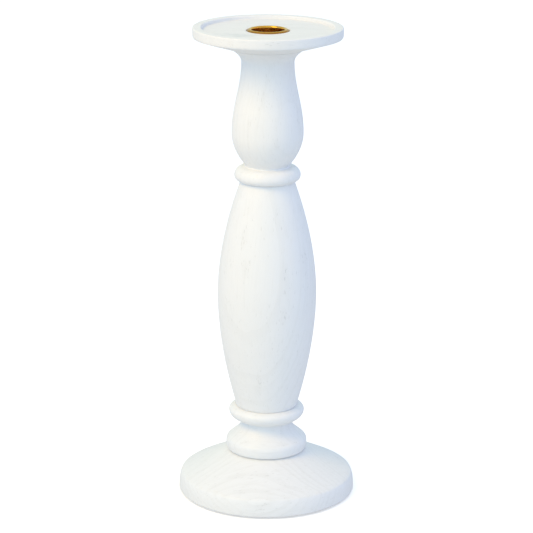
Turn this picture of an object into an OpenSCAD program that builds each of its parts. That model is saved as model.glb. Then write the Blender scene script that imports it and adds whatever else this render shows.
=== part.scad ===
// Turned wooden candlestick with a brass candle cup.
// Millimetres, +Z up, the turning axis on Z, the felt's lower face at Z = 0.
// Outlines are lists of [radius, height], drawn upwards from the lowest point.

/* [Foot] */
// Diameter of the foot
foot_d = 121; // [116:0.2:130]
// Thickness of the foot in its middle
foot_h = 29; // [27:0.1:34]
// Height of the foot's edge
foot_edge_h = 12.9; // [11.6:0.1:15]
// How far the edge rounds in at its top
foot_round_w = 3.1; // [1:0.1:5]
// Height of the rounded part of the edge
foot_round_h = 10.3; // [3:0.1:11]
// Radius at which the foot's top would turn if it were two straight slopes
foot_turn_r = 41; // [34:0.5:50]
// Height of that turn
foot_turn_h = 21.4; // [18:0.1:26]

/* [Collar] */
// Height of the collar, which is the bulb and the bead above it
collar_h = 31.4; // [29:0.1:36]
// Diameter of the collar where it meets the foot
collar_foot_d = 52.8; // [50:0.2:56]
// Diameter of the bulb
bulb_d = 55.8; // [54:0.2:62]
// Height of the bulb's widest ring above the foot
bulb_h = 6.7; // [4:0.1:9]
// How soon the bulb turns in above its widest ring, sooner below 1
bulb_bias = 0.72; // [0.65:0.01:1.2]
// Diameter of the groove between bulb and bead
groove_d = 32.8; // [28:0.2:40]
// Height of that groove above the foot
groove_h = 21; // [20:0.1:23]
// Diameter of the lower bead
lower_bead_d = 51.8; // [48:0.2:56]
// Height of the lower bead's widest ring above the foot
lower_bead_h = 27.8; // [25:0.1:28.5]

/* [Baluster] */
// Height of the baluster
baluster_h = 158.6; // [150:0.2:180]
// Diameter of the baluster at its foot
baluster_foot_d = 41.6; // [36:0.2:46]
// Diameter of the baluster's belly
baluster_d = 67.2; // [60:0.2:74]
// Height of the belly above the baluster's foot
belly_h = 79.5; // [70:0.5:90]
// Diameter of the baluster at its head
baluster_head_d = 36.2; // [32:0.2:36.4]
// Fullness of the baluster below its belly
belly_low_power = 1.83; // [1.6:0.01:2.4]
// Fullness of the baluster above its belly
belly_high_power = 1.86; // [1.5:0.01:2.2]

/* [Vase] */
// Height of the vase with its bead
vase_h = 89.6; // [84:0.1:100]
// Diameter of the upper bead where it meets the baluster
upper_bead_foot_d = 36.8; // [36.2:0.2:40]
// Diameter of the upper bead
upper_bead_d = 44.8; // [42:0.2:48]
// Height of the upper bead's widest ring above the baluster
upper_bead_h = 3.9; // [3:0.1:5]
// Diameter at which the bead and the vase would meet in a sharp groove
vase_groove_d = 28; // [24:0.2:34]
// Height of that groove above the baluster
vase_groove_h = 9.7; // [8.5:0.1:12]
// How far that groove rounds out to either side
vase_groove_round = 2.5; // [1:0.1:3]
// Diameter of the vase's body
vase_d = 48.2; // [44:0.2:54]
// Height of the vase's widest ring above the baluster
vase_body_h = 32.6; // [28:0.1:36]
// Fullness of the vase below its widest ring
vase_power = 1.98; // [1.7:0.01:2.4]
// How soon the vase turns in above its widest ring, sooner below 1
vase_bias = 1.05; // [0.9:0.01:1.3]
// Diameter of the vase's neck
neck_d = 35.4; // [32:0.2:38]
// Height of the neck above the baluster
neck_h = 80.5; // [74:0.5:84]
// Diameter of the flare under the dish
flare_d = 50.4; // [46:0.2:58]
// Share of the flare's height that stays near the neck's width
flare_hold = 0.5; // [0.4:0.05:0.9]

/* [Dish] */
// Diameter of the drip dish
dish_d = 100; // [94:0.5:110]
// Height of the dish from its seat on the vase to its rim
dish_h = 14.1; // [13:0.1:18]
// Height of the dish's upright edge
dish_edge_h = 6.8; // [5:0.1:8]
// Width of the rim's top
rim_w = 6; // [4:0.1:9]
// Depth of the recess inside the rim
recess_depth = 2.4; // [2:0.1:3.5]

/* [Candle cup] */
// Inner diameter of the candle cup
cup_d = 22.2; // [20:0.1:23]
// Depth of the candle cup
cup_depth = 22; // [18:0.5:26]
// Diameter of the candle cup's flange
flange_d = 28.6; // [27:0.1:32]
// Thickness of the brass sheet
sheet_t = 0.6; // [0.4:0.1:0.8]

/* [Joinery] */
// Diameter of the baluster's tenon
tenon_d = 16; // [14:0.5:20]
// Depth of the tenon in the foot
tenon_depth = 16; // [12:0.5:17]
// Diameter of the vase's spigot
spigot_d = 30; // [28:0.5:34]
// Height of the vase's spigot
spigot_h = 5; // [4:0.5:6]
// Diameter of the dowel pin
dowel_d = 10; // [8:1:12]
// Length of the dowel pin
dowel_l = 44; // [36:2:50]
// Thickness of the felt
felt_t = 1.2; // [1:0.1:3]
// Diameter of the felt
felt_d = 110; // [100:1:114]

/* [Hidden] */
$fn = 96;
white_wood = [0.95, 0.94, 0.92];
bare_wood = "burlywood";
brass = "goldenrod";
steel = "silver";
felt_colour = "darkgray";

// Heights at which the pieces meet
foot_z = felt_t;
collar_z = foot_z + foot_h;
baluster_z = collar_z + collar_h;
vase_z = baluster_z + baluster_h;
dish_z = vase_z + vase_h;
rim_z = dish_z + dish_h;
recess_z = rim_z - recess_depth;

// Small roundings and clearances of the wood
foot_corner = 1.1;
foot_seat_inset = 1.5;
rim_round = 0.8;
dish_lower_round = 2.2;
dish_taper = 0.8;
recess_cove = 0.8;
end_gap = 1;
end_chamfer = 1;
small_n = 6;
overrun = 1;

// Candle cup: its flange is let into the recess, and its lip stands proud of it
cup_r = cup_d / 2;
cup_outer_r = cup_r + sheet_t;
lip_proud = 1;
cup_lip_z = recess_z + lip_proud;
cup_lip_round = 1.1;
cup_floor_z = cup_lip_z - cup_depth;
cup_under_z = cup_floor_z - sheet_t;
cup_corner = 1.5;
flange_fall = 0.4;
flange_edge_t = 0.3;
flange_z = recess_z - sheet_t;
flange_seat_gap = 0.2;

// Screws: [length, thread diameter, head diameter, head height, thread pitch]
cup_screw_size = [12.7, 2.9, 5.4, 1.4, 1.2];
base_screw_size = [40, 5, 9.5, 3.2, 2.4];
core_share = 0.7;
plain_share = 0.35;
slot_share = 0.2;
slot_depth_share = 0.5;
cup_screw_hole_d = 3.4;

// Counterbore under the foot, and the washer in it
counterbore_d = 20;
counterbore_h = 6;
screw_clearance_d = 5.6;
washer_d = 16;
washer_t = 1.2;
washer_z = foot_z + counterbore_h - washer_t;

// Dowel flutes
flute_count = 12;
flute_r = 0.5;
flute_sides = 24;

// Each curve below gives its points after p, up to q.

// Quarter ellipse that leaves p level and reaches q upright
function swell(p, q, n = 10) =
  [for (i = [1:n]) let (a = 90 * i / n)
    [p.x + (q.x - p.x) * sin(a), q.y - (q.y - p.y) * cos(a)]];

// Quarter ellipse that leaves p upright and reaches q level
function shoulder(p, q, n = 10) =
  [for (i = [1:n]) let (a = 90 * i / n)
    [q.x + (p.x - q.x) * cos(a), p.y + (q.y - p.y) * sin(a)]];

// S-curve that is upright at both ends, and turns sooner with a bias below 1
function ogee(p, q, bias, n = 16) =
  [for (i = [1:n]) let (t = i / n)
    [q.x + (p.x - q.x) * (1 + cos(180 * pow(t, bias))) / 2, p.y + (q.y - p.y) * t]];

// Curve that leans at p and is upright at q, fuller with a larger power
function rise(p, q, power, n = 18) =
  [for (i = [1:n]) let (t = 1 - i / n)
    [q.x - (q.x - p.x) * pow(t, power), q.y - (q.y - p.y) * t]];

// Curve that is upright at p and leans at q, fuller with a larger power
function fall(p, q, power, n = 18) =
  [for (i = [1:n]) let (t = i / n)
    [p.x + (q.x - p.x) * pow(t, power), p.y + (q.y - p.y) * t]];

// Curve that leaves p towards c and reaches q from c
function bend(p, c, q, n = 12) =
  [for (i = [1:n]) let (t = i / n) (1 - t) * (1 - t) * p + 2 * t * (1 - t) * c + t * t * q];

module turned(outline) {
  rotate_extrude() polygon(outline);
}

module pocket(d, from_z, to_z) {
  translate([0, 0, from_z]) cylinder(d = d, h = to_z - from_z);
}

// A wood screw that hangs from the origin by its head's underside.
// Its threads are rings, and the slots across its head are square cut.
module wood_screw(size, slots) {
  thread_r = size[1] / 2;
  core_r = thread_r * core_share;
  plain_l = size[0] * plain_share;
  pitch = size[4];
  turns = floor((size[0] - plain_l - size[1]) / pitch);
  threads = [for (i = [0:turns - 1])
    each [[core_r, -plain_l - i * pitch], [thread_r, -plain_l - (i + 0.5) * pitch]]];
  turned(concat([[0, 0], [core_r, 0]], threads,
    [[core_r, -plain_l - turns * pitch], [0, -size[0]]]));
  slot_w = size[2] * slot_share;
  difference() {
    turned(concat([[0, 0], [size[2] / 2, 0]], shoulder([size[2] / 2, 0], [0, size[3]])));
    for (i = [0:slots - 1])
      rotate([0, 0, 90 * i])
        translate([-size[2], -slot_w / 2, size[3] * (1 - slot_depth_share)])
          cube([2 * size[2], slot_w, size[3]]);
  }
}

module base_felt() {
  color(felt_colour) pocket(felt_d, 0, felt_t);
}

module base_disc() {
  foot_r = foot_d / 2;
  low = [foot_r - foot_corner, foot_z];
  side = [foot_r, foot_z + foot_edge_h - foot_round_h];
  edge = [foot_r - foot_round_w, foot_z + foot_edge_h];
  seat = [collar_foot_d / 2 - foot_seat_inset, collar_z];
  outline = concat([[0, foot_z], low], swell(low, [foot_r, foot_z + foot_corner], small_n),
    [side], shoulder(side, edge), bend(edge, [foot_turn_r, foot_z + foot_turn_h], seat),
    [[0, collar_z]]);
  color(white_wood)
    difference() {
      turned(outline);
      pocket(tenon_d, collar_z - tenon_depth - end_gap, collar_z + overrun);
      pocket(screw_clearance_d, foot_z, collar_z);
      pocket(counterbore_d, foot_z - overrun, foot_z + counterbore_h);
    }
}

module foot_collar() {
  foot = [collar_foot_d / 2, collar_z];
  bulb = [bulb_d / 2, collar_z + bulb_h];
  groove = [groove_d / 2, collar_z + groove_h];
  bead = [lower_bead_d / 2, collar_z + lower_bead_h];
  head = [baluster_foot_d / 2, baluster_z];
  color(white_wood)
    turned(concat([[tenon_d / 2, collar_z], foot], swell(foot, bulb),
      ogee(bulb, groove, bulb_bias), swell(groove, bead), shoulder(bead, head),
      [[tenon_d / 2, baluster_z]]));
}

module main_baluster() {
  foot = [baluster_foot_d / 2, baluster_z];
  belly = [baluster_d / 2, baluster_z + belly_h];
  head = [baluster_head_d / 2, vase_z];
  tenon_r = tenon_d / 2;
  tenon_z = collar_z - tenon_depth;
  outline = concat(
    [[0, tenon_z], [tenon_r - end_chamfer, tenon_z], [tenon_r, tenon_z + end_chamfer],
      [tenon_r, baluster_z], foot],
    rise(foot, belly, belly_low_power), fall(belly, head, belly_high_power),
    [[0, vase_z]]);
  color(white_wood)
    difference() {
      turned(outline);
      pocket(base_screw_size[1], tenon_z - overrun, washer_z + base_screw_size[0]);
      pocket(dowel_d, vase_z - dowel_l / 2 - end_gap, vase_z + overrun);
    }
}

module upper_vase() {
  foot = [upper_bead_foot_d / 2, vase_z];
  bead = [upper_bead_d / 2, vase_z + upper_bead_h];
  groove = [vase_groove_d / 2, vase_z + vase_groove_h];
  body = [vase_d / 2, vase_z + vase_body_h];
  neck = [neck_d / 2, vase_z + neck_h];
  flare = [flare_d / 2, dish_z];
  hold = [neck_d / 2, neck.y + (dish_z - neck.y) * flare_hold];
  lean = atan((body.x - groove.x) * vase_power / (body.y - groove.y));
  ledge = groove + [vase_groove_round, 0];
  start = groove + vase_groove_round * [sin(lean), cos(lean)];
  spigot_r = spigot_d / 2;
  outline = concat([[0, vase_z], foot], swell(foot, bead), shoulder(bead, ledge),
    bend(ledge, groove, start, small_n), rise(start, body, vase_power),
    ogee(body, neck, vase_bias), bend(neck, hold, flare),
    [[spigot_r, dish_z], [spigot_r, dish_z + spigot_h], [0, dish_z + spigot_h]]);
  color(white_wood)
    difference() {
      turned(outline);
      pocket(dowel_d, vase_z - overrun, vase_z + dowel_l / 2 + end_gap);
      pocket(2 * cup_outer_r, cup_under_z, rim_z);
      pocket(cup_screw_size[1], cup_floor_z - cup_screw_size[0], rim_z);
    }
}

module drip_dish() {
  dish_r = dish_d / 2;
  socket_z = dish_z + spigot_h;
  under = [dish_r - dish_taper, rim_z - dish_edge_h];
  lower = [dish_r, under.y + dish_lower_round];
  upper = [dish_r, rim_z - rim_round];
  inner_r = dish_r - rim_w;
  seat_r = flange_d / 2 + flange_seat_gap;
  color(white_wood)
    turned(concat(
      [[cup_outer_r, socket_z], [spigot_d / 2, socket_z], [spigot_d / 2, dish_z],
        [flare_d / 2, dish_z], under],
      swell(under, lower, small_n), [upper],
      shoulder(upper, [dish_r - rim_round, rim_z], small_n),
      [[inner_r + rim_round, rim_z], [inner_r, rim_z - rim_round]],
      [[inner_r, recess_z + recess_cove], [inner_r - recess_cove, recess_z],
        [seat_r, recess_z], [seat_r, flange_z], [cup_outer_r, flange_z]]));
}

module candle_cup() {
  hole_r = cup_screw_hole_d / 2;
  outer_corner = cup_corner + sheet_t;
  corner = [cup_outer_r - outer_corner, cup_under_z];
  flange_r = flange_d / 2;
  lip = [cup_r + cup_lip_round, cup_lip_z];
  wall_top = [cup_r, cup_lip_z - cup_lip_round];
  wall_foot = [cup_r, cup_floor_z + cup_corner];
  color(brass)
    turned(concat(
      [[hole_r, cup_under_z], corner],
      swell(corner, [cup_outer_r, cup_under_z + outer_corner], small_n),
      [[cup_outer_r, flange_z], [cup_outer_r + flange_fall, flange_z + flange_fall],
        [flange_r - flange_fall, flange_z], [flange_r, flange_z + flange_edge_t],
        [flange_r - flange_fall, recess_z], lip],
      swell(lip, wall_top), [wall_foot],
      shoulder(wall_foot, [cup_r - cup_corner, cup_floor_z], small_n),
      [[hole_r, cup_floor_z]]));
}

module cup_screw() {
  color(brass) translate([0, 0, cup_floor_z]) wood_screw(cup_screw_size, 1);
}

module stem_dowel() {
  dowel_r = dowel_d / 2;
  half_l = dowel_l / 2;
  color(bare_wood)
    translate([0, 0, vase_z])
      difference() {
        turned([[0, -half_l], [dowel_r - end_chamfer, -half_l], [dowel_r, -half_l + end_chamfer],
          [dowel_r, half_l - end_chamfer], [dowel_r - end_chamfer, half_l], [0, half_l]]);
        for (i = [1:flute_count])
          rotate([0, 0, 360 * i / flute_count])
            translate([dowel_r, 0, -half_l - overrun])
              cylinder(r = flute_r, h = dowel_l + 2 * overrun, $fn = flute_sides);
      }
}

module base_screw() {
  color(steel) translate([0, 0, washer_z]) mirror([0, 0, 1]) wood_screw(base_screw_size, 2);
}

module base_washer() {
  color(steel)
    difference() {
      pocket(washer_d, washer_z, washer_z + washer_t);
      pocket(screw_clearance_d, washer_z - overrun, washer_z + washer_t + overrun);
    }
}

base_felt();
base_disc();
foot_collar();
main_baluster();
upper_vase();
drip_dish();
candle_cup();
cup_screw();
stem_dowel();
base_screw();
base_washer();
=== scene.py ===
import math

import bpy
import numpy as np
from mathutils import Matrix, Vector


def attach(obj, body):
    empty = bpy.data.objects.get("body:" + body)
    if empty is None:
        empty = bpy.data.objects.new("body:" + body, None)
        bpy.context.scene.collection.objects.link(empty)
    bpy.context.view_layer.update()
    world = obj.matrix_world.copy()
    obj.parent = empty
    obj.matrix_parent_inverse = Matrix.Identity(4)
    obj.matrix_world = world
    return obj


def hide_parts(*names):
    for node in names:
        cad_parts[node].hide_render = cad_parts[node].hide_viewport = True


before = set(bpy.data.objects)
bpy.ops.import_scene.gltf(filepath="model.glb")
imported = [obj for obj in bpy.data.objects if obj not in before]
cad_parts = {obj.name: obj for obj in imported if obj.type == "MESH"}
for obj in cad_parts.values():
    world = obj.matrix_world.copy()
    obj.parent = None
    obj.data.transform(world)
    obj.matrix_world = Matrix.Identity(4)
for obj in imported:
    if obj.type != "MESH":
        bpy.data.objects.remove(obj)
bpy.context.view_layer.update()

# ---------------------------------------------------------------- dimensions
# The CAD part's own design values in millimetres, and a few small rounds that only the eye needs. Z is
# up the turning axis. Names in _Z are heights above the table, names in _R are radii, and names in _H are
# heights above the foot of the piece.
FELT_T = 1.2
FELT_R = 55.0
FELT_LOW_ROUND = 0.5
FELT_TOP_ROUND = 0.4

FOOT_Z = FELT_T
FOOT_R = 60.5
FOOT_LOW_ROUND = 1.1
FOOT_SIDE_H = 2.6
FOOT_EDGE_H = 12.9
FOOT_ROUND_W = 3.1
FOOT_TURN_R = 41.0
FOOT_TURN_H = 21.4
FOOT_SEAT_R = 24.9
TENON_HOLE_Z = 13.2
SCREW_HOLE_R = 2.8
COUNTERBORE_R = 10.0
COUNTERBORE_Z = 7.2

COLLAR_Z = 30.2
COLLAR_FOOT_R = 26.4
BULB_R = 27.9
BULB_H = 6.7
BULB_BIAS = 0.72
GROOVE_R = 16.4
GROOVE_H = 21.0
LOWER_BEAD_R = 25.9
LOWER_BEAD_H = 27.8

BALUSTER_Z = 61.6
BALUSTER_FOOT_R = 20.8
BELLY_R = 33.6
BELLY_H = 79.5
BELLY_LOW_POWER = 1.83
BELLY_HIGH_POWER = 1.86
BALUSTER_HEAD_R = 18.1
TENON_R = 8.0
TENON_DEPTH = 16.0
TENON_CHAMFER = 1.0
WASHER_Z = 6.0
BASE_SCREW_L = 40.0
BASE_SCREW_R = 2.5

VASE_Z = 220.2
UPPER_BEAD_FOOT_R = 18.4
UPPER_BEAD_R = 22.4
UPPER_BEAD_H = 3.9
VASE_GROOVE_R = 14.0
VASE_GROOVE_H = 9.7
VASE_GROOVE_ROUND = 2.5
VASE_R = 24.1
VASE_BODY_H = 32.6
VASE_POWER = 1.98
VASE_BIAS = 1.05
NECK_R = 17.7
NECK_H = 80.5
FLARE_R = 25.2
FLARE_HOLD = 0.5
DOWEL_R = 5.0
DOWEL_HOLE_DEPTH = 23.0
SPIGOT_R = 15.0
SPIGOT_TOP_Z = 314.8

DISH_Z = 309.8
DISH_R = 50.0
DISH_TAPER = 0.8
DISH_EDGE_DEPTH = 6.8
DISH_LOWER_ROUND = 2.2
RIM_Z = 323.9
RIM_W = 6.0
RIM_ROUND = 0.8
RECESS_Z = 321.5
RECESS_COVE = 0.8

CUP_R = 11.1
CUP_SHEET = 0.6
CUP_OUTER_R = 11.7
CUP_CORNER = 1.5
CUP_LIP_ROUND = 1.1
CUP_LIP_Z = 322.5
CUP_FLOOR_Z = 300.5
CUP_UNDER_Z = 299.9
CUP_HOLE_R = 1.72
CUP_SCREW_R = 1.45
CUP_SCREW_L = 12.7
FLANGE_R = 14.3
FLANGE_Z = 320.9
FLANGE_SEAT_GAP = 0.2
FLANGE_FALL = 0.4

# What the eye sees beyond the CAD.
GAP = 0.04          # glue line between two pieces that touch
SEAM_EASE = 0.16    # how far the edges of a joint are eased
FLARE_EASE = 0.12   # the same where the dish meets the vase
STEP = 0.9          # longest step along a visible outline
HIDDEN_STEP = 3.0   # longest step across a face inside a joint
BROAD_STEP = 4.0    # the same across the flat underside of the foot
RECESS_STEP = 1.2   # the same across the floor of the recess
FINE_STEP = 0.4     # the same down the low wall of the recess
FOOT_EDGE_EASE = 1.8
BULB_EASE = 1.6
DISH_EDGE_EASE = 0.25
SEAT_EASE = 0.15
SMALL_N = 8         # points in a small round
TINY_N = 6          # points in the smallest rounds
WIDE_SEGMENTS = 256
SLIM_SEGMENTS = 208
CUP_SEGMENTS = 160
M_PER_MM = 0.001
MM_PER_M = 1000.0


# ---------------------------------------------------------------- outlines
# Each curve gives its points after p, up to q, as in the CAD.
def steps(p, q):
    """How many points a curve from p to q needs. It is longer than the straight line by up to a quarter."""
    return max(SMALL_N, int(math.ceil(1.25 * math.dist(p, q) / STEP)))


def swell(p, q, n=None):
    """A quarter of an ellipse, flat at p and upright at q."""
    n = n or steps(p, q)
    a = np.linspace(0, math.pi / 2, n + 1)[1:]
    return [(p[0] + (q[0] - p[0]) * math.sin(t), q[1] - (q[1] - p[1]) * math.cos(t)) for t in a]


def shoulder(p, q, n=None):
    """A quarter of an ellipse, upright at p and flat at q."""
    n = n or steps(p, q)
    a = np.linspace(0, math.pi / 2, n + 1)[1:]
    return [(q[0] + (p[0] - q[0]) * math.cos(t), p[1] + (q[1] - p[1]) * math.sin(t)) for t in a]


def ogee(p, q, bias):
    """Half a wave, upright at both ends. The bias moves its steepest place up or down."""
    n = steps(p, q)
    out = []
    for i in range(1, n + 1):
        t = i / n
        out.append((q[0] + (p[0] - q[0]) * (1 + math.cos(math.pi * t ** bias)) / 2, p[1] + (q[1] - p[1]) * t))
    return out


def rise(p, q, power):
    """A power curve that stands upright at q."""
    n = steps(p, q)
    out = []
    for i in range(1, n + 1):
        t = 1 - i / n
        out.append((q[0] - (q[0] - p[0]) * t ** power, q[1] - (q[1] - p[1]) * t))
    return out


def fall(p, q, power):
    """A power curve that stands upright at p."""
    n = steps(p, q)
    out = []
    for i in range(1, n + 1):
        t = i / n
        out.append((p[0] + (q[0] - p[0]) * t ** power, p[1] + (q[1] - p[1]) * t))
    return out


def bend(p, c, q):
    """A quadratic curve from p to q, with its corner at c."""
    n = steps(p, q)
    out = []
    for i in range(1, n + 1):
        t = i / n
        out.append(tuple((1 - t) ** 2 * p[k] + 2 * t * (1 - t) * c[k] + t * t * q[k] for k in (0, 1)))
    return out


def line(p, q, step=STEP):
    """Even points along a straight line."""
    n = max(1, int(math.ceil(math.dist(p, q) / step)))
    return [(p[0] + (q[0] - p[0]) * i / n, p[1] + (q[1] - p[1]) * i / n) for i in range(1, n + 1)]


CORNER_REACH = 0.02    # how near an outline point must be to count as the corner
CORNER_CLEAR = 0.05    # least distance from a round to the next outline point


def eased(path, corners):
    """The open path with each named corner (point, set-back) replaced by a small round."""
    pts = np.array(path, float)
    for corner, back in corners:
        gap = np.linalg.norm(pts - np.array(corner), axis=1)
        k = int(gap.argmin())
        if gap[k] > CORNER_REACH:
            raise ValueError(f"no corner at {corner}")
        at = np.r_[0, np.cumsum(np.linalg.norm(np.diff(pts, axis=0), axis=1))]

        def point(s):
            return np.array([np.interp(s, at, pts[:, 0]), np.interp(s, at, pts[:, 1])])

        start, end = point(at[k] - back), point(at[k] + back)
        t = np.linspace(0, 1, TINY_N)[:, None]
        arc = (1 - t) ** 2 * start + 2 * t * (1 - t) * pts[k] + t * t * end
        before = pts[at < at[k] - back - CORNER_CLEAR]
        after = pts[at > at[k] + back + CORNER_CLEAR]
        pts = np.vstack([before, arc, after])
    return [tuple(p) for p in pts]


# ---------------------------------------------------------------- lathe
WANDER_EXTRA = 20.0                 # keeps the top of a piece from repeating its foot
SHARP_ANGLE = math.radians(40)      # edges over this stay crisp


def smooth_noise(theta, z, seed, reach):
    """Gentle wandering over a turned surface, from -1 to 1, the same at 0 and 360 degrees."""
    r = np.random.default_rng(seed)
    total = np.zeros(np.broadcast(theta, z).shape)
    weight = 0.0
    for around in range(1, 7):
        for up in range(0, 4):
            amp = 1.0 / (around + up)
            start = r.uniform(0, 2 * math.pi)
            total = total + amp * np.cos(around * theta + 2 * math.pi * up * z / reach + start)
            weight += amp * 0.45
    return np.clip(total / weight, -1, 1)


def near(r, z, places):
    """How close each outline point is to the nearest (radius, height, width) place, 1 at the place."""
    best = np.zeros(len(r))
    for pr, pz, width in places:
        best = np.maximum(best, np.exp(-((r - pr) ** 2 + (z - pz) ** 2) / width ** 2))
    return best


def lathe(name, path, segments, creases=(), edges=(), uneven=0.0, seed=1, outside=None):
    """A turned solid. Its path is closed, or starts and ends on the axis.

    creases and edges are (radius, height, width) places, which the shaders darken or wear; the darkening of
    creases is partly residue in the joints and partly painted shade. uneven is how far the surface wanders
    inwards, where outside allows it.
    """
    pts = np.array(path, float)
    poles = pts[0, 0] < 1e-6 and pts[-1, 0] < 1e-6
    n = len(pts)
    theta = np.arange(segments) * 2 * math.pi / segments
    r = np.repeat(pts[:, :1], segments, axis=1)
    z = np.repeat(pts[:, 1:], segments, axis=1)
    t = np.repeat(theta[None, :], n, axis=0)
    if uneven:
        low, high = pts[:, 1].min(), pts[:, 1].max()
        wander = 0.5 - 0.5 * smooth_noise(t, z - low, seed, high - low + WANDER_EXTRA)
        on = (outside(pts[:, 0], pts[:, 1]) if outside else np.ones(n))[:, None]
        r = r - uneven * wander * on
    co = np.stack([r * np.cos(t), r * np.sin(t), z], axis=2).reshape(-1, 3)
    shades = np.stack([near(pts[:, 0], pts[:, 1], creases), near(pts[:, 0], pts[:, 1], edges)], axis=1)
    shades = np.repeat(shades[:, None, :], segments, axis=1).reshape(-1, 2)
    faces = []
    if poles:
        keep = np.ones(len(co), bool)
        keep[1:segments] = False
        keep[(n - 1) * segments + 1:] = False
        index = np.cumsum(keep) - 1
        co, shades = co[keep], shades[keep]
        first, last = 0, int(index[(n - 1) * segments])
        rows = [[int(index[i * segments + j]) for j in range(segments)] for i in range(1, n - 1)]
        for j in range(segments):
            k = (j + 1) % segments
            faces.append((first, rows[0][k], rows[0][j]))
            faces.append((last, rows[-1][j], rows[-1][k]))
    else:
        rows = [[i * segments + j for j in range(segments)] for i in range(n)]
        rows.append(rows[0])
    for a, b in zip(rows, rows[1:]):
        for j in range(segments):
            k = (j + 1) % segments
            faces.append((a[j], a[k], b[k], b[j]))
    area = float((pts[:, 0] * np.roll(pts[:, 1], -1) - np.roll(pts[:, 0], -1) * pts[:, 1]).sum())
    if area < 0:
        faces = [f[::-1] for f in faces]
    mesh = bpy.data.meshes.new(name)
    mesh.from_pydata((co * M_PER_MM).tolist(), [], faces)
    mesh.validate()
    mesh.shade_smooth()
    mesh.set_sharp_from_angle(angle=SHARP_ANGLE)
    for label, column in (("crease", 0), ("edge", 1)):
        layer = mesh.attributes.new(label, "FLOAT", "POINT")
        layer.data.foreach_set("value", shades[:, column].astype(np.float32))
    obj = bpy.data.objects.new(name, mesh)
    bpy.context.scene.collection.objects.link(obj)
    return obj


# ---------------------------------------------------------------- shaders
class Look:
    """One material, built from nodes."""

    def __init__(self, name):
        self.material = bpy.data.materials.new(name)
        self.material.use_nodes = True
        self.tree = self.material.node_tree
        self.shader = self.tree.nodes["Principled BSDF"]
        self.place = self.node("ShaderNodeTexCoord").outputs["Object"]

    def node(self, kind, inputs=(), **settings):
        n = self.tree.nodes.new(kind)
        for key, value in settings.items():
            setattr(n, key, value)
        for key, value in dict(inputs).items():
            self.feed(n.inputs[key], value)
        return n

    def feed(self, socket, value):
        if isinstance(value, bpy.types.NodeSocket):
            self.tree.links.new(value, socket)
        elif value is not None:
            socket.default_value = value

    def set(self, **values):
        for key, value in values.items():
            self.feed(self.shader.inputs[key.replace("_", " ")], value)

    def math(self, op, a, b=None):
        return self.node("ShaderNodeMath", {0: a, 1: b}, operation=op).outputs[0]

    def times(self, a, b):
        return self.math("MULTIPLY", a, b)

    def plus(self, a, b):
        return self.math("ADD", a, b)

    def vector(self, op, a, b=None, out=0):
        return self.node("ShaderNodeVectorMath", {0: a, 1: b}, operation=op).outputs[out]

    def stretched(self, v, factors):
        return self.vector("MULTIPLY", v, factors)

    def scaled(self, v, factor):
        return self.node("ShaderNodeVectorMath", {0: v, "Scale": factor}, operation="SCALE").outputs[0]

    def noise(self, v, scale=1.0, detail=2.0, rough=0.5, out=0):
        settings = {"Vector": v, "Scale": scale, "Detail": detail, "Roughness": rough}
        return self.node("ShaderNodeTexNoise", settings).outputs[out]

    def wandering(self, v, scale, detail, reach):
        """A smooth push in any direction, up to about half the reach each way."""
        push = self.vector("SUBTRACT", self.noise(v, scale, detail, 0.5, out=1), (0.5, 0.5, 0.5))
        return self.scaled(push, reach)

    def cells(self, v, scale=1.0):
        """Distance from the middle of each random cell, and the cell's own random colour."""
        n = self.node("ShaderNodeTexVoronoi", {"Vector": v, "Scale": scale, "Randomness": 1.0})
        return n.outputs["Distance"], self.node("ShaderNodeSeparateColor", {0: n.outputs["Color"]}).outputs

    def ramp(self, value, low, high, to_low=0.0, to_high=1.0):
        n = self.node(
            "ShaderNodeMapRange",
            {"Value": value, "From Min": low, "From Max": high, "To Min": to_low, "To Max": to_high},
            interpolation_type="SMOOTHSTEP",
        )
        return n.outputs[0]

    def mix(self, factor, a, b):
        n = self.node("ShaderNodeMix", data_type="RGBA", blend_type="MIX")
        self.feed(n.inputs[0], factor)
        self.feed(n.inputs[6], a)
        self.feed(n.inputs[7], b)
        return n.outputs[2]

    def attribute(self, name):
        return self.node("ShaderNodeAttribute", attribute_name=name).outputs["Fac"]

    def bump(self, height, depth_mm, under=None):
        n = self.node("ShaderNodeBump", {"Height": height, "Distance": depth_mm * M_PER_MM, "Strength": 1.0})
        if under is not None:
            self.feed(n.inputs["Normal"], under)
        return n.outputs[0]


def rgb(r, g, b):
    return (r, g, b, 1.0)


STAIN_WHITE = rgb(0.835, 0.836, 0.830)
STAIN_THIN = rgb(0.675, 0.67, 0.645)
PORE_GREY = rgb(0.45, 0.445, 0.425)
PATCH_BLUE_GREY = rgb(0.60, 0.65, 0.66)
SEAM_RESIDUE_AND_SHADE = rgb(0.47, 0.48, 0.48)
WORN_EDGE = rgb(0.76, 0.70, 0.60)


def timber_frame(look, along, pith, seed):
    """Coordinates in millimetres with the grain on Z and the pith at 0, 0."""
    along = Vector(along).normalized()
    across = along.orthogonal().normalized()
    third = along.cross(across)
    mm = look.vector("SUBTRACT", look.scaled(look.place, MM_PER_M), tuple(pith))
    parts = [look.vector("DOT_PRODUCT", mm, tuple(axis), out=1) for axis in (across, third, along)]
    grain = look.node("ShaderNodeCombineXYZ", {0: parts[0], 1: parts[1], 2: parts[2]}).outputs[0]
    return look.vector("ADD", grain, (0.0, 0.0, 37.0 * seed))


def mark_field(look, marks, lengthwise):
    """Rises to 1 inside each mark: (x, y, z, half width, half length) in millimetres, long along one axis."""
    mm = look.scaled(look.place, MM_PER_M)
    field = 0.0
    for x, y, z, wide, long in marks:
        shrink = [1.0 / wide] * 3
        shrink[lengthwise] = 1.0 / long
        offset = look.stretched(look.vector("SUBTRACT", mm, (x, y, z)), tuple(shrink))
        one = look.ramp(look.vector("LENGTH", offset, out=1), 0.45, 1.15, 1.0, 0.0)
        field = look.math("MAXIMUM", field, one)
    return field


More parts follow.
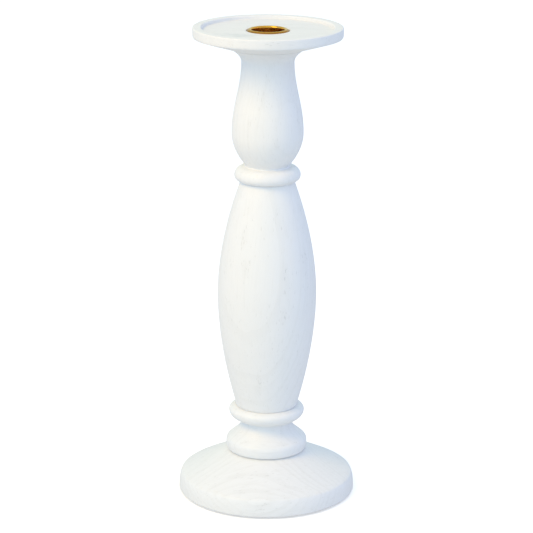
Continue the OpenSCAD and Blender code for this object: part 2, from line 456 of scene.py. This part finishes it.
def late_wood(k, bent, ring, seed):
    """Growth rings round the pith: each darkens slowly outwards, ends sharply and has its own strength."""
    radius = k.vector("LENGTH", k.stretched(bent, (1.0, 1.0, 0.0)), out=1)
    pace_at = k.node("ShaderNodeCombineXYZ", {0: k.times(radius, 0.09), 1: float(seed)}).outputs[0]
    count = k.plus(k.math("DIVIDE", radius, ring), k.times(k.noise(pace_at, 1.0, 1.0), 2.2))
    phase = k.math("FRACT", count)
    late = k.times(k.ramp(phase, 0.34, 0.90), k.ramp(phase, 0.93, 1.0, 1.0, 0.0))
    number = k.math("FLOOR", count)
    strength = k.node("ShaderNodeTexWhiteNoise", {"W": number}, noise_dimensions="1D").outputs[0]
    return k.times(late, k.ramp(strength, 0.0, 1.0, 0.20, 1.0))


def open_pores(k, grain, bent, mark, pores):
    """Short open dashes along the grain, in drifts and round the marks, and finer specks between them."""
    worn = k.vector("ADD", bent, k.wandering(k.scaled(grain, 0.9), 1.0, 1.0, 0.9))
    dash_at, dash_tint = k.cells(k.stretched(worn, (0.95, 0.95, 0.16)))
    drift = k.noise(k.stretched(grain, (0.07, 0.07, 0.02)), 1.0, 1.0)
    odds = k.plus(k.plus(dash_tint[0], k.times(drift, 0.8 * pores)), k.times(mark, 0.62))
    pore = k.times(k.ramp(dash_at, 0.12, 0.34, 1.0, 0.0), k.ramp(odds, 1.10, 1.26))
    speck_at, speck_tint = k.cells(k.stretched(worn, (1.9, 1.9, 0.30)))
    speck_odds = k.plus(speck_tint[1], k.times(mark, 0.25))
    speck = k.times(k.ramp(speck_at, 0.10, 0.28, 1.0, 0.0), k.ramp(speck_odds, 0.86, 0.92))
    return pore, speck


def white_wood(
    name, along, pith, seed, ring=3.6, figure=1.0, fibre=1.0, pores=1.0, marks=(), grey_patches=(), lengthwise=2
):
    """White stain over pale timber, in three dimensions, worn a little at the edges.

    along is the direction of the grain and pith a point on the middle of the tree, in millimetres. ring is
    the width of a year, and figure, fibre and pores say how strongly each of those shows.
    """
    k = Look(name)
    grain = timber_frame(k, along, pith, seed)
    mark = mark_field(k, marks, lengthwise)

    # rings, streaks of colour, fine fibres and pores, all wandering slowly along the board
    slow = k.stretched(grain, (1 / 34.0, 1 / 34.0, 1 / 110.0))
    bent = k.vector("ADD", grain, k.wandering(slow, 1.0, 2.0, 7.0))
    late = late_wood(k, bent, ring, seed)
    streak = k.noise(k.stretched(bent, (0.50, 0.50, 0.014)), 1.0, 3.0, 0.6)
    fine = k.noise(k.stretched(bent, (1.9, 1.9, 0.045)), 1.0, 3.0, 0.6)
    hair = k.noise(k.stretched(bent, (7.0, 7.0, 0.25)), 1.0, 1.0, 0.5)
    pore, speck = open_pores(k, grain, bent, mark, pores)

    # how thinly the stain covers, and where hands have rubbed it
    cloud = k.noise(k.scaled(k.place, 34.0), 1.0, 3.0, 0.55)
    thin = k.ramp(cloud, 0.32, 0.70, 0.45, 1.0)
    rub = k.noise(k.scaled(k.place, 210.0), 1.0, 3.0, 0.6)

    colour = k.mix(k.times(k.times(late, thin), 0.20 * figure), STAIN_WHITE, STAIN_THIN)
    colour = k.mix(k.times(k.ramp(streak, 0.50, 0.76), 0.20 * fibre), colour, STAIN_THIN)
    colour = k.mix(k.times(k.ramp(fine, 0.52, 0.80), 0.20 * fibre), colour, STAIN_THIN)
    colour = k.mix(k.times(mark, 0.10), colour, STAIN_THIN)
    deep = k.plus(k.times(thin, 0.26), k.times(mark, 0.18))
    colour = k.mix(k.times(pore, deep), colour, PORE_GREY)
    colour = k.mix(k.times(speck, 0.09), colour, PORE_GREY)

    # a blue-grey patch where given, joints and inner corners darkened (partly residue, partly painted shade),
    # and edges where the stain is rubbed thin
    # a blue-grey patch, where given, mottled by the cloud and rub noise
    if grey_patches:
        patch_mask = k.times(mark_field(k, grey_patches, lengthwise), k.ramp(cloud, 0.36, 0.60))
        patch_mask = k.times(patch_mask, k.ramp(rub, 0.25, 0.65, 0.4, 1.0))
        colour = k.mix(k.times(patch_mask, 0.80), colour, PATCH_BLUE_GREY)
    # painted shade with some residue: joints and inner corners are darkened towards grey
    crease = k.times(k.attribute("crease"), k.ramp(rub, 0.30, 0.62, 0.55, 1.0))
    edge = k.times(k.attribute("edge"), k.ramp(rub, 0.48, 0.66))
    colour = k.mix(k.times(crease, 0.16), colour, SEAM_RESIDUE_AND_SHADE)
    colour = k.mix(k.times(edge, 0.14), colour, WORN_EDGE)

    rough = k.plus(k.plus(0.40, k.times(cloud, 0.12)), k.times(k.plus(pore, crease), 0.22))
    fibres = k.bump(k.plus(k.times(fine, 0.6), k.times(hair, 0.4)), 0.030)
    pits = k.plus(pore, k.times(speck, 0.5))
    pitted = k.bump(k.math("SUBTRACT", k.times(late, 0.5), pits), 0.055, fibres)
    k.set(Base_Color=colour, Roughness=rough, Normal=k.bump(rub, 0.015, pitted), IOR=1.46)
    return k.material


def brass_look(name, tarnish=1.0):
    """Bright drawn brass, with fine rings from the drawing die, patches of tarnish, and painted shade round
    the edge of the flange and low inside the cup.
    """
    k = Look(name)
    mm = k.scaled(k.place, MM_PER_M)
    radius = k.vector("LENGTH", k.stretched(mm, (1.0, 1.0, 0.0)), out=1)
    height = k.vector("DOT_PRODUCT", mm, (0.0, 0.0, 1.0), out=1)
    rings = k.node("ShaderNodeCombineXYZ", {0: k.times(radius, 3.2), 1: k.times(height, 3.2)}).outputs[0]
    drawn = k.noise(rings, 1.0, 3.0, 0.6)
    cloud = k.noise(mm, 0.16, 3.0, 0.6)
    spots = k.ramp(k.noise(mm, 0.9, 2.0, 0.5), 0.62, 0.74)
    dull = k.ramp(cloud, 0.45, 0.75, 0.0, 0.5 * tarnish)
    colour = k.mix(dull, rgb(0.86, 0.45, 0.06), rgb(0.60, 0.26, 0.03))
    colour = k.mix(k.times(spots, 0.25 * tarnish), colour, rgb(0.36, 0.17, 0.04))
    # painted shade: dark brown round the edge of the flange and low inside the cup
    colour = k.mix(k.times(k.attribute("crease"), 0.9), colour, rgb(0.38, 0.15, 0.015))
    rough = k.plus(k.times(drawn, 0.10), k.times(k.ramp(cloud, 0.35, 0.75), 0.10))
    k.set(Base_Color=colour, Metallic=1.0, Roughness=k.plus(rough, 0.16), Normal=k.bump(drawn, 0.012))
    return k.material


def steel_look(name):
    """Zinc plate: cool grey with the faint spangle and rub marks of a screw from a box."""
    k = Look(name)
    mm = k.scaled(k.place, MM_PER_M)
    spangle = k.cells(mm, 1.4)[1]
    rub = k.noise(mm, 2.2, 3.0, 0.6)
    colour = k.mix(spangle[0], rgb(0.56, 0.57, 0.59), rgb(0.70, 0.71, 0.72))
    rough = k.plus(0.26, k.times(rub, 0.22))
    k.set(Base_Color=colour, Metallic=1.0, Roughness=rough, Normal=k.bump(rub, 0.01))
    return k.material


def beech_look(name):
    """Bare beech with its short dark flecks, grain upright."""
    k = Look(name)
    mm = k.scaled(k.place, MM_PER_M)
    fibre = k.noise(k.stretched(mm, (1.6, 1.6, 0.07)), 1.0, 3.0, 0.6)
    fleck_at = k.cells(k.stretched(mm, (1.4, 1.4, 0.35)))[0]
    fleck = k.ramp(fleck_at, 0.08, 0.24, 1.0, 0.0)
    colour = k.mix(k.ramp(fibre, 0.35, 0.70), rgb(0.62, 0.44, 0.27), rgb(0.52, 0.34, 0.19))
    colour = k.mix(k.times(fleck, 0.45), colour, rgb(0.27, 0.15, 0.08))
    rough = k.plus(0.55, k.times(fibre, 0.15))
    k.set(Base_Color=colour, Roughness=rough, Normal=k.bump(fibre, 0.03))
    return k.material


def felt_look(name):
    """Pressed wool felt: matted fibres in pale grey."""
    k = Look(name)
    mm = k.scaled(k.place, MM_PER_M)
    mat = k.noise(mm, 1.6, 4.0, 0.7)
    curl = k.scaled(k.noise(mm, 0.5, 2.0, 0.5, out=1), 5.0)
    fibre = k.noise(k.vector("ADD", mm, curl), 4.2, 2.0, 0.6)
    colour = k.mix(k.ramp(mat, 0.35, 0.68), rgb(0.40, 0.39, 0.37), rgb(0.58, 0.57, 0.54))
    colour = k.mix(k.times(k.ramp(fibre, 0.55, 0.75), 0.3), colour, rgb(0.70, 0.69, 0.66))
    k.set(Base_Color=colour, Roughness=0.95, Normal=k.bump(k.plus(mat, fibre), 0.14))
    k.set(Sheen_Weight=0.25, Sheen_Roughness=0.5)
    return k.material


# ---------------------------------------------------------------- pieces
def outer(low_r):
    """Marks the outline points that lie outside this radius, so bores stay true."""
    return lambda r, z: (r > low_r).astype(float)


def make_foot():
    low = (FOOT_R - FOOT_LOW_ROUND, FOOT_Z + GAP)
    knee = (FOOT_R, FOOT_Z + FOOT_LOW_ROUND)
    side = (FOOT_R, FOOT_Z + FOOT_SIDE_H)
    edge = (FOOT_R - FOOT_ROUND_W, FOOT_Z + FOOT_EDGE_H)
    turn = (FOOT_TURN_R, FOOT_Z + FOOT_TURN_H)
    seat = (FOOT_SEAT_R, COLLAR_Z - GAP)
    mouth = (COUNTERBORE_R, FOOT_Z + GAP)
    outside = [mouth] + line(mouth, low, BROAD_STEP)
    outside += swell(low, knee, SMALL_N) + line(knee, side) + shoulder(side, edge)
    outside += bend(edge, turn, seat)
    outside += line(seat, (TENON_R + GAP, seat[1]), HIDDEN_STEP)
    outside = eased(outside, [(edge, FOOT_EDGE_EASE), (seat, SEAM_EASE)])
    inside = [
        (TENON_R + GAP, TENON_HOLE_Z),
        (SCREW_HOLE_R, TENON_HOLE_Z),
        (SCREW_HOLE_R, COUNTERBORE_Z),
        (COUNTERBORE_R, COUNTERBORE_Z),
    ]
    return lathe(
        "foot_disc", outside + inside, WIDE_SEGMENTS,
        # These darken the seat, the corner round the collar and the underside near the floor: painted shade,
        # with residue in the joint.
        creases=[
            (FOOT_SEAT_R, COLLAR_Z, 0.9),
            (COLLAR_FOOT_R, COLLAR_Z - 0.6, 0.8),
            (FOOT_R - 1.0, FOOT_Z, 0.9),
        ],
        edges=[(FOOT_R, FOOT_Z + 1.3, 0.6), (*edge, 1.4)],
        uneven=0.10, seed=11, outside=outer(30.0),
    )


def make_collar():
    foot = (COLLAR_FOOT_R, COLLAR_Z + GAP)
    bulb = (BULB_R, COLLAR_Z + BULB_H)
    groove = (GROOVE_R, COLLAR_Z + GROOVE_H)
    bead = (LOWER_BEAD_R, COLLAR_Z + LOWER_BEAD_H)
    head = (BALUSTER_FOOT_R, BALUSTER_Z - GAP)
    bore = TENON_R + GAP
    outside = [(bore, foot[1])] + line((bore, foot[1]), foot, HIDDEN_STEP)
    outside += swell(foot, bulb) + ogee(bulb, groove, BULB_BIAS)
    outside += swell(groove, bead) + shoulder(bead, head)
    outside += line(head, (bore, head[1]), HIDDEN_STEP)
    outside = eased(outside, [(foot, SEAM_EASE), (bulb, BULB_EASE), (head, SEAM_EASE)])
    return lathe(
        "collar_turning", outside, SLIM_SEGMENTS,
        creases=[(COLLAR_FOOT_R, COLLAR_Z, 0.7), (BALUSTER_FOOT_R, BALUSTER_Z, 0.7)],
        edges=[(*bead, 1.2)],
        uneven=0.07, seed=12, outside=outer(12.0),
    )


def make_baluster():
    foot = (BALUSTER_FOOT_R, BALUSTER_Z + GAP)
    belly = (BELLY_R, BALUSTER_Z + BELLY_H)
    head = (BALUSTER_HEAD_R, VASE_Z - GAP)
    tenon_r = TENON_R - GAP
    tenon_z = COLLAR_Z - TENON_DEPTH
    hole_top = WASHER_Z + BASE_SCREW_L
    dowel_hole_z = VASE_Z - DOWEL_HOLE_DEPTH
    start = [(0.0, hole_top), (BASE_SCREW_R, hole_top)]
    outside = [
        (BASE_SCREW_R, tenon_z),
        (tenon_r - TENON_CHAMFER, tenon_z),
        (tenon_r, tenon_z + TENON_CHAMFER),
        (tenon_r, foot[1]),
    ]
    outside += line(outside[-1], foot, HIDDEN_STEP)
    outside += rise(foot, belly, BELLY_LOW_POWER) + fall(belly, head, BELLY_HIGH_POWER)
    outside += line(head, (DOWEL_R + GAP, head[1]), HIDDEN_STEP)
    outside = eased(outside, [(foot, SEAM_EASE), (head, SEAM_EASE)])
    end = [(DOWEL_R + GAP, dowel_hole_z), (0.0, dowel_hole_z)]
    return lathe(
        "baluster_turning", start + outside + end, SLIM_SEGMENTS,
        creases=[(BALUSTER_FOOT_R, BALUSTER_Z, 0.8), (BALUSTER_HEAD_R, VASE_Z, 0.7)],
        edges=[],
        uneven=0.09, seed=13, outside=outer(12.0),
    )


def make_vase():
    foot = (UPPER_BEAD_FOOT_R, VASE_Z + GAP)
    bead = (UPPER_BEAD_R, VASE_Z + UPPER_BEAD_H)
    groove = (VASE_GROOVE_R, VASE_Z + VASE_GROOVE_H)
    body = (VASE_R, VASE_Z + VASE_BODY_H)
    neck = (NECK_R, VASE_Z + NECK_H)
    flare = (FLARE_R, DISH_Z - GAP)
    hold = (neck[0], neck[1] + (DISH_Z - neck[1]) * FLARE_HOLD)
    lean = math.atan((body[0] - groove[0]) * VASE_POWER / (body[1] - groove[1]))
    ledge = (groove[0] + VASE_GROOVE_ROUND, groove[1])
    start_up = (
        groove[0] + VASE_GROOVE_ROUND * math.sin(lean),
        groove[1] + VASE_GROOVE_ROUND * math.cos(lean),
    )
    spigot_r = SPIGOT_R - GAP
    pocket_r = CUP_OUTER_R + GAP
    bore = DOWEL_R + GAP
    start = [(0.0, VASE_Z + DOWEL_HOLE_DEPTH), (bore, VASE_Z + DOWEL_HOLE_DEPTH)]
    outside = [(bore, foot[1])] + line((bore, foot[1]), foot, HIDDEN_STEP)
    outside += swell(foot, bead) + shoulder(bead, ledge) + bend(ledge, groove, start_up)
    outside += rise(start_up, body, VASE_POWER) + ogee(body, neck, VASE_BIAS) + bend(neck, hold, flare)
    outside += line(flare, (spigot_r, flare[1]), HIDDEN_STEP)
    outside = eased(outside, [(foot, SEAM_EASE), (flare, FLARE_EASE)])
    end = [
        (spigot_r, SPIGOT_TOP_Z - GAP),
        (pocket_r, SPIGOT_TOP_Z - GAP),
        (pocket_r, CUP_UNDER_Z - GAP),
        (CUP_SCREW_R, CUP_UNDER_Z - GAP),
        (CUP_SCREW_R, CUP_FLOOR_Z - CUP_SCREW_L),
        (0.0, CUP_FLOOR_Z - CUP_SCREW_L),
    ]
    return lathe(
        "vase_turning", start + outside + end, SLIM_SEGMENTS,
        creases=[(UPPER_BEAD_FOOT_R, VASE_Z, 0.6)],
        edges=[(*bead, 1.0)],
        uneven=0.07, seed=14, outside=outer(12.5),
    )


def make_dish():
    under = (DISH_R - DISH_TAPER, RIM_Z - DISH_EDGE_DEPTH)
    lower = (DISH_R, under[1] + DISH_LOWER_ROUND)
    upper = (DISH_R, RIM_Z - RIM_ROUND)
    crown = (DISH_R - RIM_ROUND, RIM_Z)
    inner_r = DISH_R - RIM_W
    seat_r = FLANGE_R + FLANGE_SEAT_GAP
    bore = CUP_OUTER_R + GAP
    socket_z = SPIGOT_TOP_Z + GAP
    flare = (FLARE_R, DISH_Z + GAP)
    outside = [(SPIGOT_R + GAP, flare[1])] + line((SPIGOT_R + GAP, flare[1]), flare, HIDDEN_STEP)
    outside += line(flare, under) + swell(under, lower, SMALL_N)
    outside += line(lower, upper) + shoulder(upper, crown, TINY_N)
    brow = (inner_r + RIM_ROUND, RIM_Z)
    wall_top = (inner_r, RIM_Z - RIM_ROUND)
    wall_foot = (inner_r, RECESS_Z + RECESS_COVE)
    floor = (inner_r - RECESS_COVE, RECESS_Z)
    outside += line(crown, brow)
    outside += shoulder(wall_top, brow, TINY_N)[::-1][1:] + [wall_top]
    outside += line(wall_top, wall_foot, FINE_STEP)
    outside += shoulder(wall_foot, floor, TINY_N)
    outside += line(floor, (seat_r, RECESS_Z), RECESS_STEP)
    outside += [(seat_r, FLANGE_Z - GAP), (bore, FLANGE_Z - GAP)]
    outside = eased(outside, [(flare, FLARE_EASE), (under, DISH_EDGE_EASE), ((seat_r, RECESS_Z), SEAT_EASE)])
    inside = [(bore, socket_z), (SPIGOT_R + GAP, socket_z)]
    return lathe(
        "dish_turning", outside + inside, WIDE_SEGMENTS,
        # These darken the inner corner of the recess (painted shade) and the seat of the flange (painted
        # shade and residue).
        creases=[(inner_r - 0.2, RECESS_Z + 0.2, 0.7), (seat_r, RECESS_Z, 0.35)],
        edges=[(*crown, 0.8), (inner_r + 0.4, RIM_Z, 0.8), (*under, 0.8)],
        uneven=0.06, seed=15, outside=outer(48.5),
    )


def make_cup():
    outer_corner = CUP_CORNER + CUP_SHEET
    wall_top = (CUP_R, CUP_LIP_Z - CUP_LIP_ROUND)
    lip = (CUP_R + CUP_LIP_ROUND, CUP_LIP_Z)
    brow = (lip[0] + 0.9, CUP_LIP_Z)
    corner_top = (CUP_R, CUP_FLOOR_Z + CUP_CORNER)
    corner_foot = (CUP_R - CUP_CORNER, CUP_FLOOR_Z)
    under = (CUP_OUTER_R - outer_corner, CUP_UNDER_Z)
    wall_foot = (CUP_OUTER_R, CUP_UNDER_Z + outer_corner)
    flange_low = (FLANGE_R - FLANGE_FALL, FLANGE_Z)
    flange_side = (FLANGE_R, FLANGE_Z + 0.3)
    flange_top = (FLANGE_R - FLANGE_FALL, RECESS_Z)
    path = [(CUP_HOLE_R, CUP_UNDER_Z)] + line((CUP_HOLE_R, CUP_UNDER_Z), under, 1.5)
    path += swell(under, wall_foot, SMALL_N)
    path += line(wall_foot, (CUP_OUTER_R, FLANGE_Z), 2.0)
    path += [(CUP_OUTER_R + FLANGE_FALL, FLANGE_Z + FLANGE_FALL), flange_low]
    path += bend(flange_low, (FLANGE_R, FLANGE_Z + 0.05), flange_side)
    path += bend(flange_side, (FLANGE_R, RECESS_Z - 0.04), flange_top)
    path += bend(flange_top, brow, lip)
    path += swell(lip, wall_top, 10) + line(wall_top, corner_top, 0.8)
    path += shoulder(corner_top, corner_foot, SMALL_N)
    path += line(corner_foot, (CUP_HOLE_R, CUP_FLOOR_Z), 1.2)
    return lathe(
        "cup_shell", path, CUP_SEGMENTS,
        # painted shade: round the edge of the flange and low inside the cup
        creases=[(FLANGE_R - 0.2, RECESS_Z - 0.1, 1.6), (CUP_R, CUP_FLOOR_Z + 6.0, 5.0)],
    )


# These six are in metres, as the finished mesh is.
FELT_CUT_FROM_R = 0.0545
FELT_FUZZ = 0.00022
FELT_UNDER_TO_Z = 0.0002
FELT_UNDER_FROM_R = 0.001
FELT_UNDER_TO_R = 0.0535
FELT_DIMPLE = 0.00016


def make_felt():
    low_edge = (FELT_R - FELT_LOW_ROUND, 0.0)
    side = (FELT_R, FELT_LOW_ROUND)
    top_edge = (FELT_R - FELT_TOP_ROUND, FELT_T)
    path = [(0.0, 0.0)] + line((0.0, 0.0), low_edge, 1.4)
    path += bend(low_edge, (FELT_R, 0.0), side) + bend(side, (FELT_R, FELT_T), top_edge)
    path += line(top_edge, (0.0, FELT_T), 6.0)
    felt = lathe("felt_pad", path, WIDE_SEGMENTS)
    mesh = felt.data
    co = np.zeros(len(mesh.vertices) * 3)
    mesh.vertices.foreach_get("co", co)
    co = co.reshape(-1, 3)

    # The cut edge is fuzzy and the underside is dimpled. Both only ever take a little away.
    flat = np.hypot(co[:, 0], co[:, 1])
    fuzz = np.random.default_rng(21).uniform(0, 1, len(co))
    cut = flat > FELT_CUT_FROM_R
    co[cut, :2] *= (1 - FELT_FUZZ * fuzz[cut] / flat[cut])[:, None]
    under = (co[:, 2] < FELT_UNDER_TO_Z) & (flat > FELT_UNDER_FROM_R) & (flat < FELT_UNDER_TO_R)
    co[under, 2] += FELT_DIMPLE * fuzz[under]
    mesh.vertices.foreach_set("co", co.ravel())
    mesh.update()
    return felt


# Each mark is (x, y, z, half width, half length) in millimetres.
wood = {
    "foot": white_wood(
        "white_wood_foot", (1.0, 0.10, 0.27), (0.0, 27.0, -44.0), 1,
        ring=2.8, figure=1.25, fibre=1.1, lengthwise=0,
        marks=[
            (-21, -36.5, 21.7, 2.6, 13),
            (-3, -38.5, 23.5, 2.4, 9),
            (-12, -50.5, 16.6, 2.6, 22),
            (18, -47, 18.2, 2.2, 10),
            (-2, -59.6, 9.6, 3.4, 8),
        ],
    ),
    "collar": white_wood(
        "white_wood_collar", (1.0, -0.04, 0.02), (0.0, 34.0, 18.0), 2,
        ring=3.0, figure=1.1, lengthwise=0,
        marks=[
            (11.5, -22.4, 39.8, 2.0, 5),
            (20.5, -17.0, 38.6, 2.0, 4),
            (-15, -20, 40, 1.8, 8),
        ],
    ),
    "baluster": white_wood(
        "white_wood_baluster", (0.078, 0.147, 1.0), (25.8, 48.6, 141.0), 3,
        ring=4.4, figure=0.70, fibre=0.75, pores=0.9,
        marks=[
            (-15.2, -23, 186, 3.0, 15),
            (-14.6, -28, 166, 2.6, 9),
            (13, -29.6, 158, 2.4, 20),
            (11, -31.3, 134, 2.8, 8),
            (21.3, -10, 203, 3.0, 7),
            (25, -18, 163, 3.2, 26),
            (-5, -25.5, 84, 2.2, 18),
        ],
    ),
    "vase": white_wood(
        "white_wood_vase", (-0.02, 0.015, 1.0), (-30.0, 30.0, 260.0), 4,
        ring=3.4, figure=0.6, fibre=0.8,
        marks=[
            (5.9, -22.9, 249, 2.8, 5),
            (-3, -20.5, 283, 1.8, 14),
            (20.5, -11, 262, 2.6, 14),
        ],
    ),
    "dish": white_wood(
        "white_wood_dish", (1.0, 0.03, -0.02), (0.0, 10.0, 270.0), 5,
        ring=3.6, figure=0.7, lengthwise=0,
        marks=[
            (6, -49, 321, 3.6, 11),
            (-22.6, -44.6, 320.5, 2.4, 1.0),
        ],
        # a blue-grey patch on the floor of the dish, just inside the front-left rim
        grey_patches=[(-26, -18, RECESS_Z, 9.0, 20)],
    ),
}
steel = steel_look("zinc_plate")

built = (
    (make_foot(), "base_disc", "white_wood", wood["foot"]),
    (make_collar(), "foot_collar", "white_wood", wood["collar"]),
    (make_baluster(), "main_baluster", "white_wood", wood["baluster"]),
    (make_vase(), "upper_vase", "white_wood", wood["vase"]),
    (make_dish(), "drip_dish", "white_wood", wood["dish"]),
    (make_cup(), "candle_cup", "brass", brass_look("brass_cup")),
    (make_felt(), "base_felt", "felt", felt_look("grey_felt")),
)
for obj, node, slot, material in built:
    obj.data.materials.append(material)
    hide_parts(node)
    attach(obj, "root")

for node, material in (
    ("cup_screw", brass_look("brass_screw", 1.4)),
    ("stem_dowel", beech_look("bare_beech")),
    ("base_screw", steel),
    ("base_washer", steel),
):
    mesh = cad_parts[node].data
    for i in range(max(1, len(mesh.materials))):
        if i < len(mesh.materials):
            mesh.materials[i] = material
        else:
            mesh.materials.append(material)


# ---------------------------------------------------------------- studio
TENT_WALLS = (
    ((1, 0, 0), (0.72, 0.79, 1.20)),
    ((-1, 0, 0), (0.66, 0.95, 1.38)),
    ((0, 1, 0), (0.71, 0.91, 0.82)),
    ((0, -1, 0), (1.04, 1.31, 1.50)),
    ((0, 0, 1), (0.63, 0.69, 0.76)),
    ((0, 0, -1), (0.90, 0.90, 0.90)),
)


# Lengths here are in metres.
FLOOR_HOLE_R = 0.0535    # the felt reaches 1.5 mm past it
FLOOR_R = 20.0
FLOOR_GLOW = 0.5
AIM = (0.0, 0.0, 0.17)
KEY_DIRECTION = (-0.542, -0.4545, 0.7071)
KEY_DISTANCE = 1.7
KEY_SIZE = 0.9
KEY_POWER = 13.2
KEY_COLOUR = (1.0, 0.62, 0.10)

# The camera stands in front and looks down at the angle of the photograph.
CAMERA_PLACE = (0.0, -1.4386, 0.5777)
CAMERA_PITCH = math.radians(16.199)
CAMERA_YAW = math.radians(0.0150)
CAMERA_ROLL = math.radians(0.224)
CAMERA_SENSOR = 36.0     # millimetres, as the lens is
CAMERA_LENS = 149.25


def studio_floor():
    """A wide floor, open only where the felt covers it, so that a view from below shows the underside lit."""
    ring = 128
    turn = [2 * math.pi * j / ring for j in range(ring)]
    points = [(r * math.cos(t), r * math.sin(t), 0.0) for r in (FLOOR_HOLE_R, FLOOR_R) for t in turn]
    faces = [(j, ring + j, ring + (j + 1) % ring, (j + 1) % ring) for j in range(ring)]
    mesh = bpy.data.meshes.new("studio_floor")
    mesh.from_pydata(points, [], faces)
    floor = bpy.data.objects.new("studio_floor", mesh)
    bpy.context.scene.collection.objects.link(floor)
    k = Look("studio_white")
    tone = k.noise(k.place, 3.0, 2.0, 0.5)
    k.set(Base_Color=k.mix(tone, rgb(0.74, 0.74, 0.74), rgb(0.76, 0.76, 0.76)), Roughness=0.9)

    # The backdrop is burnt out to white for the camera, and throws none of that light onto the object.
    # From below it is see-through.
    seen = k.node("ShaderNodeLightPath").outputs["Is Camera Ray"]
    underneath = k.node("ShaderNodeNewGeometry").outputs["Backfacing"]
    k.set(Specular_IOR_Level=0.0, Emission_Color=rgb(1.0, 1.0, 1.0))
    k.set(Emission_Strength=k.times(seen, FLOOR_GLOW), Alpha=k.math("SUBTRACT", 1.0, underneath))
    floor.data.materials.append(k.material)


def studio_air():
    """A light tent: each wall's glow, squared off by direction so that the six blend into one another."""
    world = bpy.data.worlds.new("studio_air")
    world.use_nodes = True
    tree = world.node_tree
    place = tree.nodes.new("ShaderNodeTexCoord").outputs["Generated"]
    total = None
    for direction, glow in TENT_WALLS:
        facing = tree.nodes.new("ShaderNodeVectorMath")
        facing.operation = "DOT_PRODUCT"
        facing.inputs[1].default_value = direction
        tree.links.new(place, facing.inputs[0])
        ahead = tree.nodes.new("ShaderNodeMath")
        ahead.operation = "MAXIMUM"
        ahead.inputs[1].default_value = 0.0
        tree.links.new(facing.outputs["Value"], ahead.inputs[0])
        share = tree.nodes.new("ShaderNodeMath")
        share.operation = "POWER"
        share.inputs[1].default_value = 2.0
        tree.links.new(ahead.outputs[0], share.inputs[0])
        lit = tree.nodes.new("ShaderNodeVectorMath")
        lit.operation = "SCALE"
        lit.inputs[0].default_value = glow
        tree.links.new(share.outputs[0], lit.inputs["Scale"])
        if total is None:
            total = lit.outputs[0]
        else:
            add = tree.nodes.new("ShaderNodeVectorMath")
            add.operation = "ADD"
            tree.links.new(total, add.inputs[0])
            tree.links.new(lit.outputs[0], add.inputs[1])
            total = add.outputs[0]
    tree.links.new(total, tree.nodes["Background"].inputs["Color"])
    bpy.context.scene.world = world


def area_light(name, direction, distance, size, power, colour):
    """A round lamp, that many metres from the middle of the object and turned towards it."""
    data = bpy.data.lights.new(name, "AREA")
    data.shape = "DISK"
    data.size = size
    data.energy = power
    data.color = colour
    light = bpy.data.objects.new(name, data)
    away = Vector(direction).normalized()
    light.location = Vector(AIM) + away * distance
    light.rotation_euler = away.to_track_quat("Z", "Y").to_euler()
    bpy.context.scene.collection.objects.link(light)


def studio_camera():
    data = bpy.data.cameras.new("camera")
    data.sensor_width = CAMERA_SENSOR
    data.lens = CAMERA_LENS
    camera = bpy.data.objects.new("camera", data)
    camera.location = CAMERA_PLACE
    tilt = Matrix.Rotation(math.pi / 2 - CAMERA_PITCH, 3, "X")
    turn = Matrix.Rotation(CAMERA_YAW, 3, "Z") @ tilt @ Matrix.Rotation(CAMERA_ROLL, 3, "Z")
    camera.rotation_euler = turn.to_euler()
    bpy.context.scene.collection.objects.link(camera)
    bpy.context.scene.camera = camera


studio_floor()
area_light("key", KEY_DIRECTION, KEY_DISTANCE, KEY_SIZE, KEY_POWER, KEY_COLOUR)
studio_air()
studio_camera()

view = bpy.context.scene.view_settings
view.view_transform = "Standard"
view.look = "None"
view.exposure = 0.0
view.gamma = 1.0
